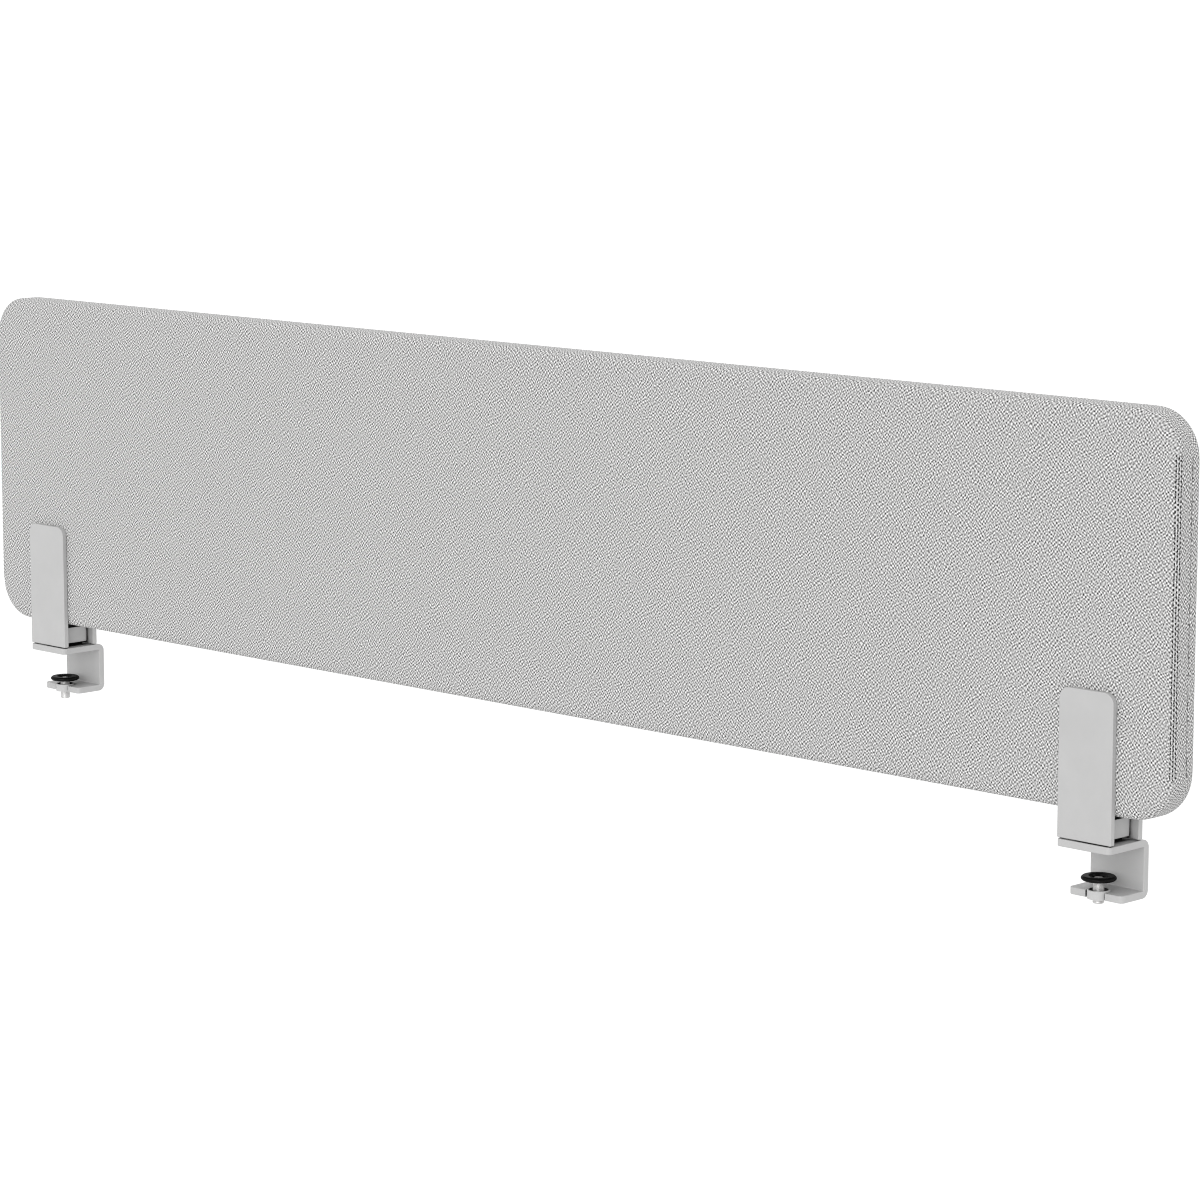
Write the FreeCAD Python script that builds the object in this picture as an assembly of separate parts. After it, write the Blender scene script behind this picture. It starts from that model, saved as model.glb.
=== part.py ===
import FreeCAD, Part
import math
import os

os.makedirs("parts", exist_ok=True)

# Desk privacy panel. Millimetres, +Z up, X along the desk edge, -Y towards the person seated.
# The origin is on the desktop's top surface, half way between the two clamps and under the
# panel's middle plane, so the clamps' upper flanges rest on z = 0.

# Panel
PANEL_WIDTH = 1600.0
PANEL_HEIGHT = 350.0
PANEL_THICKNESS = 33.0
PANEL_CORNER = 42.0
PANEL_EDGE_ROUND = 6.0
COVER_THICKNESS = 1.0
BOARD_THICKNESS = 12.0
BOARD_INSET = 8.0
TAPE_THICKNESS = 0.8
TAPE_FRONT_Y = -10.5
TAPE_BACK_Y = 3.5

# Where the two supports stand
SUPPORT_X = {"left": -712.0, "right": 712.0}
SUPPORT_WIDTH = 58.0

# Fork: two plates with a block between them, under the panel
PLATE_THICKNESS = 5.5
PLATE_HEIGHT = 131.1
PLATE_TOP_CORNER = 10.0
PLATE_BOTTOM_CORNER = 1.2
PLATE_LIFT = 0.9
BLOCK_WIDTH = 43.0
BLOCK_HEIGHT = 17.0
BLOCK_CORNER = 5.0
BLOCK_EDGE_ROUND = 0.6
REST_PAD_THICKNESS = 4.0
REST_PAD_INSET = 2.0
BASE_SPACER_THICKNESS = 4.0
BASE_SPACER_WIDTH = 27.0
BASE_SPACER_DEPTH = 31.0
SOFT_CORNER = 3.0
EDGE_ROUND = 0.8

# C-shaped clamp frame, bent from flat steel
STEEL_THICKNESS = 6.5
THROAT_HEIGHT = 38.5
UPPER_FLANGE_FRONT_Y = -23.4
LOWER_FLANGE_FRONT_Y = -4.8
WEB_BACK_Y = 31.5
BEND_INNER_RADIUS = 1.0
FLANGE_CORNER = 4.5

# Countersunk M5 socket screws: two across the fork, two up from the clamp frame
SCREW_RADIUS = 2.5
SCREW_HEAD_RADIUS = 5.0
SCREW_HEAD_HEIGHT = 2.5
SCREW_HOLE_RADIUS = 2.7
TAPPED_HOLE_RADIUS = 2.53
HEAD_SINK = 0.3
PLATE_SCREW_X = 15.0
PLATE_SCREW_REACH = 4.0
FLANGE_SCREW_X = 6.5
FLANGE_SCREW_LENGTH = 20.0
HEX_SMALL = 3.0
HEX_SMALL_DEPTH = 1.8
HOLE_END_ROOM = 0.4

# Threaded bush in the lower flange, with its locking ring
BUSH_RADIUS = 9.9
BUSH_RIM = 1.2
BUSH_EDGE = 0.4
RING_SEAT_RADIUS = 8.4
RING_SEAT_DEPTH = 5.0
RING_BELOW_RIM = 1.6
RUNNING_CLEARANCE = 0.06
SLIT_OUTER_X = 10.5
SLIT_INNER_X = 8.0
SLIT_BACK_Y = -1.5

# Clamp screw, M10 fine, and the pad that swivels on its upper end
CLAMP_SCREW_RADIUS = 5.0
CLAMP_SCREW_LENGTH = 19.6
CLAMP_SCREW_CHAMFER = 0.8
HEX_LARGE = 5.0
HEX_LARGE_DEPTH = 5.0
NECK_RADIUS = 3.0
NECK_CLEARANCE = 0.1
SHOULDER_GAP = 0.25
RIVET_GAP = 0.1
RIVET_RADIUS = 4.2
RIVET_HEIGHT = 0.9
RIVET_FACE_RADIUS = 3.0
PAD_RADIUS = 15.4
PAD_THICKNESS = 4.3
PAD_BEVEL = 1.6
PAD_BEVEL_HEIGHT = 1.5
PAD_DISH_RADIUS = 8.5
PAD_DISH_FLOOR_RADIUS = 7.4
PAD_DISH_DEPTH = 2.6
# Free height between pad and upper flange as stored; the two screws stand at different heights
THROAT_AT_REST = {"left": 29.0, "right": 25.0}

# Heights and depths that follow from the sizes above
FLANGE_TOP = STEEL_THICKNESS
LOWER_TOP = -THROAT_HEIGHT
LOWER_BOTTOM = LOWER_TOP - STEEL_THICKNESS
PLATE_BOTTOM = FLANGE_TOP + PLATE_LIFT
PLATE_TOP = PLATE_BOTTOM + PLATE_HEIGHT
BLOCK_BOTTOM = FLANGE_TOP + BASE_SPACER_THICKNESS
BLOCK_TOP = BLOCK_BOTTOM + BLOCK_HEIGHT
PANEL_BOTTOM = BLOCK_TOP + REST_PAD_THICKNESS
PANEL_TOP = PANEL_BOTTOM + PANEL_HEIGHT
HALF_GAP = PANEL_THICKNESS / 2
PLATE_OUTER_Y = HALF_GAP + PLATE_THICKNESS
HALF_SUPPORT = SUPPORT_WIDTH / 2
PLATE_SCREW_Z = BLOCK_BOTTOM + BLOCK_HEIGHT / 2
BUSH_TOP = LOWER_TOP + BUSH_RIM
RING_TOP = BUSH_TOP - RING_BELOW_RIM
RING_BOTTOM = BUSH_TOP - RING_SEAT_DEPTH

OVERSHOOT = 1.0
POSITION_TOLERANCE = 1e-4
SHARP_EDGE_ANGLE = math.radians(40)


def vec(x, y, z):
    return FreeCAD.Vector(x, y, z)


def save(shape, node):
    shape.exportStep("parts/" + node + ".step")


def box(x0, x1, y0, y1, z0, z1):
    return Part.makeBox(x1 - x0, y1 - y0, z1 - z0, vec(x0, y0, z0))


def upright_cylinder(x, y, z0, z1, radius):
    return Part.makeCylinder(radius, z1 - z0, vec(x, y, z0))


def hex_prism(across_flats, start, direction):
    """Hexagonal prism from start, as long as direction."""
    corner_radius = across_flats / math.sqrt(3)
    corners = []
    for i in range(7):
        angle = math.radians(60 * i)
        corners.append(vec(corner_radius * math.cos(angle), corner_radius * math.sin(angle), 0))
    prism = Part.Face(Part.makePolygon(corners)).extrude(vec(0, 0, direction.Length))
    turn = FreeCAD.Rotation(vec(0, 0, 1), direction)
    prism.Placement = FreeCAD.Placement(start, turn)
    return prism


def lathe(profile, x, y):
    """Solid of revolution about the upright axis through x, y from (radius, z) points."""
    points = [vec(x + radius, y, z) for radius, z in profile]
    points.append(points[0])
    face = Part.Face(Part.makePolygon(points))
    return face.revolve(vec(x, y, 0), vec(0, 0, 1), 360)


def rounded_outline(corners):
    """Closed wire through (point, radius) corners, each turned by an arc of its radius."""
    edges = []
    starts = []
    ends = []
    count = len(corners)
    for i in range(count):
        point, radius = corners[i]
        before = (corners[i - 1][0] - point).normalize()
        after = (corners[(i + 1) % count][0] - point).normalize()
        half_angle = before.getAngle(after) / 2
        reach = radius / math.tan(half_angle)
        inward = (before + after).normalize()
        middle = point + inward * (radius / math.sin(half_angle) - radius)
        start = point + before * reach
        end = point + after * reach
        starts.append(start)
        ends.append(end)
        if radius > 0:
            edges.append(Part.Arc(start, middle, end).toShape())
    for i in range(count):
        edges.append(Part.makeLine(ends[i - 1], starts[i]))
    return Part.Wire(Part.__sortEdges__(edges))


def upright_slab(x, width, z0, z1, bottom_corner, top_corner, y0, y1):
    """Plate standing in the XZ plane, with rounded corners."""
    corners = [
        (vec(x - width / 2, y0, z0), bottom_corner),
        (vec(x + width / 2, y0, z0), bottom_corner),
        (vec(x + width / 2, y0, z1), top_corner),
        (vec(x - width / 2, y0, z1), top_corner),
    ]
    return Part.Face(rounded_outline(corners)).extrude(vec(0, y1 - y0, 0))


def flat_slab(x, width, depth, corner, z0, z1):
    """Plate lying in the XY plane and centred on y = 0, with rounded corners."""
    corners = [
        (vec(x - width / 2, -depth / 2, z0), corner),
        (vec(x + width / 2, -depth / 2, z0), corner),
        (vec(x + width / 2, depth / 2, z0), corner),
        (vec(x - width / 2, depth / 2, z0), corner),
    ]
    return Part.Face(rounded_outline(corners)).extrude(vec(0, 0, z1 - z0))


def normal_at(face, point):
    u, v = face.Surface.parameter(point)
    return face.normalAt(u, v)


def round_sharp_edges(shape, radius):
    """Round every edge where two faces meet at an angle."""
    sharp = []
    for edge in shape.Edges:
        middle = edge.valueAt((edge.FirstParameter + edge.LastParameter) / 2)
        faces = shape.ancestorsOfType(edge, Part.Face)
        if len(faces) == 2:
            angle = normal_at(faces[0], middle).getAngle(normal_at(faces[1], middle))
            if angle > SHARP_EDGE_ANGLE:
                sharp.append(edge)
    return shape.makeFillet(radius, sharp)


def upright_edges_at(shape, y):
    """The edges that run up and down in the plane of this y."""
    found = []
    for edge in shape.Edges:
        room = edge.BoundBox
        in_plane = abs(room.YMin - y) < POSITION_TOLERANCE and room.YLength < POSITION_TOLERANCE
        if in_plane and room.XLength < POSITION_TOLERANCE:
            found.append(edge)
    return found


# Panel: board, padding, cover and the tapes in the cover's end seams


def panel_body(inset, edge_round):
    """The panel's rounded outer form, moved inwards by inset."""
    slab = upright_slab(
        0,
        PANEL_WIDTH - 2 * inset,
        PANEL_BOTTOM + inset,
        PANEL_TOP - inset,
        PANEL_CORNER - inset,
        PANEL_CORNER - inset,
        -HALF_GAP + inset,
        HALF_GAP - inset,
    )
    return round_sharp_edges(slab, edge_round)


def core_board():
    board = upright_slab(
        0,
        PANEL_WIDTH - 2 * BOARD_INSET,
        PANEL_BOTTOM + BOARD_INSET,
        PANEL_TOP - BOARD_INSET,
        PANEL_CORNER - BOARD_INSET,
        PANEL_CORNER - BOARD_INSET,
        -BOARD_THICKNESS / 2,
        BOARD_THICKNESS / 2,
    )
    return board


def closing_tape(side):
    """Strip inside the cover's end seam, over the straight part of the panel's end."""
    outer_x = PANEL_WIDTH / 2 - COVER_THICKNESS
    inner_x = outer_x - TAPE_THICKNESS
    low_x, high_x = (inner_x, outer_x) if side == "right" else (-outer_x, -inner_x)
    low_z = PANEL_BOTTOM + PANEL_CORNER
    high_z = PANEL_TOP - PANEL_CORNER
    return box(low_x, high_x, TAPE_FRONT_Y, TAPE_BACK_Y, low_z, high_z)


def panel_slice(solid, y0, y1):
    """The part of a panel-sized solid between two upright planes."""
    reach = PANEL_WIDTH / 2 + OVERSHOOT
    return solid.common(box(-reach, reach, y0, y1, PANEL_BOTTOM - OVERSHOOT, PANEL_TOP + OVERSHOOT))


def make_panel():
    outside = panel_body(0, PANEL_EDGE_ROUND)
    inside = panel_body(COVER_THICKNESS, PANEL_EDGE_ROUND - COVER_THICKNESS)
    board = core_board()
    tapes = {side: closing_tape(side) for side in SUPPORT_X}
    filling = inside.cut(tapes["left"]).cut(tapes["right"])
    half_board = BOARD_THICKNESS / 2
    save(outside.cut(inside), "fabric_cover")
    save(board, "core_board")
    save(panel_slice(filling, -HALF_GAP, -half_board), "front_padding")
    save(panel_slice(filling, half_board, HALF_GAP), "back_padding")
    save(panel_slice(filling, -half_board, half_board).cut(board), "edge_wadding")
    for side, tape in tapes.items():
        save(tape, side + "_closing_tape")


# Fork


def plate_screw_axes(x):
    return [x - PLATE_SCREW_X, x + PLATE_SCREW_X]


def flange_screw_axes(x):
    return [x - FLANGE_SCREW_X, x + FLANGE_SCREW_X]


def plate_blank(x, y0, y1):
    plate = upright_slab(
        x, SUPPORT_WIDTH, PLATE_BOTTOM, PLATE_TOP, PLATE_BOTTOM_CORNER, PLATE_TOP_CORNER, y0, y1
    )
    return round_sharp_edges(plate, EDGE_ROUND)


def along_y(x, z, y0, y1, radius):
    return Part.makeCylinder(radius, y1 - y0, vec(x, y0, z), vec(0, 1, 0))


def front_plate(x):
    """Plain outside; its two tapped holes are blind and open towards the block."""
    plate = plate_blank(x, -PLATE_OUTER_Y, -HALF_GAP)
    deepest = -HALF_GAP - PLATE_SCREW_REACH - HOLE_END_ROOM
    for screw_x in plate_screw_axes(x):
        plate = plate.cut(along_y(screw_x, PLATE_SCREW_Z, deepest, -HALF_GAP + OVERSHOOT, TAPPED_HOLE_RADIUS))
    return plate


def back_plate(x):
    """Countersunk from behind for the two screws across the fork."""
    plate = plate_blank(x, HALF_GAP, PLATE_OUTER_Y)
    head_face = PLATE_OUTER_Y - HEAD_SINK
    for screw_x in plate_screw_axes(x):
        plate = plate.cut(along_y(screw_x, PLATE_SCREW_Z, HALF_GAP - OVERSHOOT, head_face, SCREW_HOLE_RADIUS))
        plate = plate.cut(countersunk_seat(vec(screw_x, head_face, PLATE_SCREW_Z), vec(0, -1, 0)))
    return plate


def countersunk_seat(face_point, into):
    """Cone and mouth that a screw head sinks into; into points from the head to the tip."""
    cone = Part.makeCone(SCREW_HEAD_RADIUS, SCREW_RADIUS, SCREW_HEAD_HEIGHT, face_point, into)
    mouth_start = face_point - into * (HEAD_SINK + OVERSHOOT)
    mouth = Part.makeCylinder(SCREW_HEAD_RADIUS, HEAD_SINK + OVERSHOOT, mouth_start, into)
    return cone.fuse(mouth)


def countersunk_screw(face_point, into, length):
    head = Part.makeCone(SCREW_HEAD_RADIUS, SCREW_RADIUS, SCREW_HEAD_HEIGHT, face_point, into)
    shank = Part.makeCylinder(SCREW_RADIUS, length, face_point, into)
    socket = hex_prism(HEX_SMALL, face_point - into * OVERSHOOT, into * (HEX_SMALL_DEPTH + OVERSHOOT))
    return head.fuse(shank).cut(socket).removeSplitter()


def plate_screws(x):
    head_face = PLATE_OUTER_Y - HEAD_SINK
    length = head_face + HALF_GAP + PLATE_SCREW_REACH
    screws = []
    for screw_x in plate_screw_axes(x):
        screws.append(countersunk_screw(vec(screw_x, head_face, PLATE_SCREW_Z), vec(0, -1, 0), length))
    return Part.makeCompound(screws)


def flange_screws(x):
    screws = []
    for screw_x in flange_screw_axes(x):
        screws.append(countersunk_screw(vec(screw_x, 0, HEAD_SINK), vec(0, 0, 1), FLANGE_SCREW_LENGTH))
    return Part.makeCompound(screws)


def spacer_block(x):
    block = flat_slab(x, BLOCK_WIDTH, PANEL_THICKNESS, BLOCK_CORNER, BLOCK_BOTTOM, BLOCK_TOP)
    block = round_sharp_edges(block, BLOCK_EDGE_ROUND)
    for screw_x in plate_screw_axes(x):
        block = block.cut(
            along_y(screw_x, PLATE_SCREW_Z, -HALF_GAP - OVERSHOOT, HALF_GAP + OVERSHOOT, SCREW_HOLE_RADIUS)
        )
    hole_top = HEAD_SINK + FLANGE_SCREW_LENGTH + HOLE_END_ROOM
    for screw_x in flange_screw_axes(x):
        block = block.cut(
            upright_cylinder(screw_x, 0, BLOCK_BOTTOM - OVERSHOOT, hole_top, TAPPED_HOLE_RADIUS)
        )
    return block


def rest_pad(x):
    inset = 2 * REST_PAD_INSET
    return flat_slab(x, BLOCK_WIDTH - inset, PANEL_THICKNESS - inset, SOFT_CORNER, BLOCK_TOP, PANEL_BOTTOM)


def base_spacer(x):
    spacer = flat_slab(x, BASE_SPACER_WIDTH, BASE_SPACER_DEPTH, SOFT_CORNER, FLANGE_TOP, BLOCK_BOTTOM)
    for screw_x in flange_screw_axes(x):
        hole = upright_cylinder(
            screw_x, 0, FLANGE_TOP - OVERSHOOT, BLOCK_BOTTOM + OVERSHOOT, SCREW_HOLE_RADIUS
        )
        spacer = spacer.cut(hole)
    return spacer


# Clamp


def bent_strip(x):
    """The C profile, closed at the back, extruded to the support's width."""
    x0 = x - HALF_SUPPORT
    outer = BEND_INNER_RADIUS + STEEL_THICKNESS
    web_inner = WEB_BACK_Y - STEEL_THICKNESS
    corners = [
        (vec(x0, UPPER_FLANGE_FRONT_Y, 0), 0),
        (vec(x0, web_inner, 0), BEND_INNER_RADIUS),
        (vec(x0, web_inner, LOWER_TOP), BEND_INNER_RADIUS),
        (vec(x0, LOWER_FLANGE_FRONT_Y, LOWER_TOP), 0),
        (vec(x0, LOWER_FLANGE_FRONT_Y, LOWER_BOTTOM), 0),
        (vec(x0, WEB_BACK_Y, LOWER_BOTTOM), outer),
        (vec(x0, WEB_BACK_Y, FLANGE_TOP), outer),
        (vec(x0, UPPER_FLANGE_FRONT_Y, FLANGE_TOP), 0),
    ]
    strip = Part.Face(rounded_outline(corners)).extrude(vec(SUPPORT_WIDTH, 0, 0))
    flange_corners = upright_edges_at(strip, UPPER_FLANGE_FRONT_Y)
    flange_corners += upright_edges_at(strip, LOWER_FLANGE_FRONT_Y)
    strip = strip.makeFillet(FLANGE_CORNER, flange_corners)
    return round_sharp_edges(strip, EDGE_ROUND)


def clamp_frame(x):
    frame = bent_strip(x)
    for screw_x in flange_screw_axes(x):
        frame = frame.cut(upright_cylinder(screw_x, 0, HEAD_SINK, FLANGE_TOP + OVERSHOOT, SCREW_HOLE_RADIUS))
        frame = frame.cut(countersunk_seat(vec(screw_x, 0, HEAD_SINK), vec(0, 0, 1)))
    bottom = LOWER_BOTTOM - OVERSHOOT
    top = LOWER_TOP + OVERSHOOT
    front = LOWER_FLANGE_FRONT_Y - OVERSHOOT
    frame = frame.cut(upright_cylinder(x, 0, bottom, top, BUSH_RADIUS))
    # relief slits where the bush breaks out of the flange's front edge
    frame = frame.cut(box(x - SLIT_OUTER_X, x - SLIT_INNER_X, front, SLIT_BACK_Y, bottom, top))
    frame = frame.cut(box(x + SLIT_INNER_X, x + SLIT_OUTER_X, front, SLIT_BACK_Y, bottom, top))
    return frame


def threaded_bush(x):
    bore = CLAMP_SCREW_RADIUS + RUNNING_CLEARANCE
    profile = [
        (bore, LOWER_BOTTOM),
        (BUSH_RADIUS, LOWER_BOTTOM),
        (BUSH_RADIUS, BUSH_TOP - BUSH_EDGE),
        (BUSH_RADIUS - BUSH_EDGE, BUSH_TOP),
        (RING_SEAT_RADIUS, BUSH_TOP),
        (RING_SEAT_RADIUS, RING_BOTTOM),
        (bore, RING_BOTTOM),
    ]
    return lathe(profile, x, 0)


def locking_ring(x):
    bore = CLAMP_SCREW_RADIUS + RUNNING_CLEARANCE
    profile = [
        (bore, RING_BOTTOM),
        (RING_SEAT_RADIUS, RING_BOTTOM),
        (RING_SEAT_RADIUS, RING_TOP),
        (bore, RING_TOP),
    ]
    return lathe(profile, x, 0)


def clamp_screw(x, pad_top):
    pad_bottom = pad_top - PAD_THICKNESS
    shoulder = pad_bottom - SHOULDER_GAP
    tip = shoulder - CLAMP_SCREW_LENGTH
    rivet_bottom = pad_top - PAD_DISH_DEPTH + RIVET_GAP
    rivet_top = rivet_bottom + RIVET_HEIGHT
    profile = [
        (0, tip),
        (CLAMP_SCREW_RADIUS - CLAMP_SCREW_CHAMFER, tip),
        (CLAMP_SCREW_RADIUS, tip + CLAMP_SCREW_CHAMFER),
        (CLAMP_SCREW_RADIUS, shoulder),
        (NECK_RADIUS, shoulder),
        (NECK_RADIUS, rivet_bottom),
        (RIVET_RADIUS, rivet_bottom),
        (RIVET_RADIUS, rivet_bottom + RIVET_HEIGHT / 2),
        (RIVET_FACE_RADIUS, rivet_top),
        (0, rivet_top),
    ]
    socket = hex_prism(HEX_LARGE, vec(x, 0, tip - OVERSHOOT), vec(0, 0, HEX_LARGE_DEPTH + OVERSHOOT))
    return lathe(profile, x, 0).cut(socket)


def clamp_pad(x, pad_top):
    pad_bottom = pad_top - PAD_THICKNESS
    dish_floor = pad_top - PAD_DISH_DEPTH
    profile = [
        (NECK_RADIUS + NECK_CLEARANCE, pad_bottom),
        (PAD_RADIUS - PAD_BEVEL, pad_bottom),
        (PAD_RADIUS, pad_bottom + PAD_BEVEL_HEIGHT),
        (PAD_RADIUS, pad_top - PAD_BEVEL_HEIGHT),
        (PAD_RADIUS - PAD_BEVEL, pad_top),
        (PAD_DISH_RADIUS, pad_top),
        (PAD_DISH_FLOOR_RADIUS, dish_floor),
        (NECK_RADIUS + NECK_CLEARANCE, dish_floor),
    ]
    return lathe(profile, x, 0)


def make_support(side):
    x = SUPPORT_X[side]
    pad_top = -THROAT_AT_REST[side]
    save(front_plate(x), side + "_front_plate")
    save(back_plate(x), side + "_back_plate")
    save(plate_screws(x), side + "_plate_screws")
    save(spacer_block(x), side + "_spacer_block")
    save(rest_pad(x), side + "_rest_pad")
    save(base_spacer(x), side + "_base_spacer")
    save(clamp_frame(x), side + "_clamp_frame")
    save(flange_screws(x), side + "_flange_screws")
    save(threaded_bush(x), side + "_threaded_bush")
    save(locking_ring(x), side + "_locking_ring")
    save(clamp_screw(x, pad_top), side + "_clamp_screw")
    save(clamp_pad(x, pad_top), side + "_clamp_pad")


make_panel()
for support_side in SUPPORT_X:
    make_support(support_side)
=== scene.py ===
import math

import bpy
import numpy as np
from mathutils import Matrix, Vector


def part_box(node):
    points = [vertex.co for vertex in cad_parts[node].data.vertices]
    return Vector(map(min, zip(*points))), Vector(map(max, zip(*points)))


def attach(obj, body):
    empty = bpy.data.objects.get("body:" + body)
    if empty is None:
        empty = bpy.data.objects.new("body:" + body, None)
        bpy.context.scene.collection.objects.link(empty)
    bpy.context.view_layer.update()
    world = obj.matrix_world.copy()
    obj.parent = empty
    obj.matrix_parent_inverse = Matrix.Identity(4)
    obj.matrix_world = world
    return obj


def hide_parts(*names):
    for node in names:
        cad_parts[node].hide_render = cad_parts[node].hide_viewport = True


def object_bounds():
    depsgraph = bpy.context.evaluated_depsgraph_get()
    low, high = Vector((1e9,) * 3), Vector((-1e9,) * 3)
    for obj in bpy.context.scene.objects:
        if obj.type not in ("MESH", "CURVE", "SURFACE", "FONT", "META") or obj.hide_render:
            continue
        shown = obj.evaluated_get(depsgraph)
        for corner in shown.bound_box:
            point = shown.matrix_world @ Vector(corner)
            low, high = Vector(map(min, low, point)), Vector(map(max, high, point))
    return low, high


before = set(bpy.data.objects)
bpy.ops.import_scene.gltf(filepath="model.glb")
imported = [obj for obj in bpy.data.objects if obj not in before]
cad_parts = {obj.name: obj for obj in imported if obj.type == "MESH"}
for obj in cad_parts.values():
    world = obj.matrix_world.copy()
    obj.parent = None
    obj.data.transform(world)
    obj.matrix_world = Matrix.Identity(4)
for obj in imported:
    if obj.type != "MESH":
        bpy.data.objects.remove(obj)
CAD_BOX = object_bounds()

# Looks of the desk privacy panel, fitted to its CAD parts, whose boxes give the places. Metres,
# +Z up, X along the panel, -Y towards the person seated.

MM = 0.001
SIDES = ("left", "right")
BODY = "screen"

# Panel cover, which starts a little inside its CAD part's box, and swells
PANEL_LOW, PANEL_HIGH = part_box("fabric_cover")
PANEL_CORNER = 42 * MM
EDGE_ROUND = 6 * MM
FACE_CELL = 10 * MM
OUTLINE_INSET = 0.3 * MM
FACE_INSET = 0.4 * MM
SWELL_PRESSURE = 4.0
SWELL_STEPS = 20
SWELL_QUALITY = 5
SWELL_CAP = 0.9 * MM
SWELL_STATIONS = 10
SHAPE_STATIONS = 14
PINNED_SINK = 0.05 * MM
PINNED_MARGIN = 3 * MM
PRESSED_REACH = 0.6 * MM

# Seams down the panel's two ends, measured round the section from where the front face ends
STITCH_ROWS = (3.9 * MM, 6.4 * MM)
STITCH_DIMPLE = 0.4 * MM
STITCH_DIMPLE_REACH = 1.0 * MM
CLOSURE_AT = 23.1 * MM
CLOSURE_DEPTH = 0.6 * MM
CLOSURE_REACH = 0.8 * MM
CLOSURE_SHADE_REACH = 3.4 * MM
CLOSURE_SHADE = 0.06
FOLD_WIDTH = 1.1 * MM
FOLD_BLUR = 0.6 * MM
SEAM_FADE = 12 * MM
STITCH_PITCH = 4.3 * MM
STITCH_LENGTH = 3.1 * MM
STITCH_SLANT = 0.08
THREAD_RADIUS = 0.4 * MM
THREAD_SIDES = 6
STITCHES_BELOW = 2 * MM
STITCHES_ABOVE = 5 * MM
HOLE_HALF_WIDTH = 0.65 * MM
HOLE_HALF_HEIGHT = 1.15 * MM
GROOVE_OFFSET = 1.1 * MM
GROOVE_HALF_WIDTH = 0.5 * MM

# Crepe weave: its floats lie about 3 mm apart. Evenness, from 0 to 1, is how far their strength
# is levelled, and the span is how far their sum goes from pit to crest.
WEAVE_CELLS_PER_METRE = 230.0
WEAVE_WAVES_PER_CELL = 1.6
WEAVE_EVENNESS = 0.4
WEAVE_SPAN = 0.52
BACK_WEAVE_SHIFT = (7.0, 3.0)

# Clamp screw and pad, whose places and heights come from their CAD parts
ROUND_SEGMENTS = 72
SCREW_RADIUS = 5 * MM
THREAD_PITCH = 1 * MM
THREAD_DEPTH = 0.2 * MM
THREAD_STEPS = 6
SCREW_CHAMFER = 0.8 * MM
SHOULDER_CHAMFER = 0.4 * MM
SHANK_LENGTH = 19.6 * MM
NECK_RADIUS = 3 * MM
NECK_GAP = 0.1 * MM
RIVET_RADIUS = 4.2 * MM
RIVET_FACE_RADIUS = 3 * MM
RIVET_HEIGHT = 0.9 * MM
SOCKET_ACROSS = 5 * MM
SOCKET_DEPTH = 5 * MM
SOCKET_POINT = 1.2 * MM
SOCKET_MOUTH_RADIUS = 3.3 * MM
SMALL_EDGE = 0.3 * MM
PAD_BEVEL = 1.6 * MM
PAD_BEVEL_HEIGHT = 1.5 * MM
PAD_SOFT_EDGE = 0.6 * MM
PAD_DISH_RADIUS = 8.5 * MM
PAD_DISH_FLOOR_RADIUS = 7.4 * MM
PAD_DISH_DEPTH = 2.6 * MM

# Rubber pads under load: corner radius, how far each kind bulges, and the lower half of the
# bulge's profile as (height, swell), both in shares of their greatest
RUBBER_CORNER = 3 * MM
RUBBER_CORNER_STEPS = 6
REST_PAD_BULGE = 0.7 * MM
BASE_SPACER_BULGE = 0.5 * MM
RUBBER_PROFILE = [(-1.0, -0.8), (-1.0, -0.1), (-0.8, 0.35), (-0.3, 0.9)]

# How near another surface has to be for the paint in the gap to be painted dark, as shade
CREVICE_REACH = 12 * MM

# Camera, which sees the front and the right end
CAMERA_PLACE = (2.8817, -2.7855, 0.7660)
CAMERA_YAW = math.radians(44.848)
CAMERA_DOWN = math.radians(8.966)
CAMERA_LENS = 125.92
CAMERA_SENSOR = 36.0

FLOOR_GAP = 7 * MM
FLOOR_SIZE = 400.0
FLOOR_LEVEL = 0.18
FLOOR_GLOW = 0.83
STUDIO_LIGHT = 1.25
# Each key light: energy, spread, heading and how far down it shines, in degrees
KEY_LIGHTS = {"broad_key": (1.05, 42, 17, 13), "softbox_key": (0.30, 14, 36, 6)}


# Mesh helpers


def smoothstep(x):
    x = np.clip(x, 0, 1)
    return x * x * (3 - 2 * x)


def make_object(name, points, faces, material, body=BODY):
    """A mesh object with smooth faces, which rides on a body and has its material."""
    mesh = bpy.data.meshes.new(name)
    mesh.from_pydata([tuple(p) for p in points], [], faces)
    mesh.validate()
    mesh.shade_smooth()
    mesh.materials.append(material)
    piece = bpy.data.objects.new(name, mesh)
    bpy.context.scene.collection.objects.link(piece)
    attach(piece, body)
    return piece


def skin_faces(rings, count, first=0):
    """Quads between successive rings of count points each."""
    faces = []
    for k in range(rings - 1):
        for j in range(count):
            here = first + k * count
            following = (j + 1) % count
            faces.append((here + j, here + following, here + count + following, here + count + j))
    return faces


def circle_ring(centre, radius, z):
    angles = np.arange(ROUND_SEGMENTS) * 2 * math.pi / ROUND_SEGMENTS
    radii = np.broadcast_to(radius, angles.shape)
    ring = np.stack([radii * np.cos(angles), radii * np.sin(angles), np.full_like(angles, z)], 1)
    return ring + np.array([centre[0], centre[1], 0])


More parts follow.
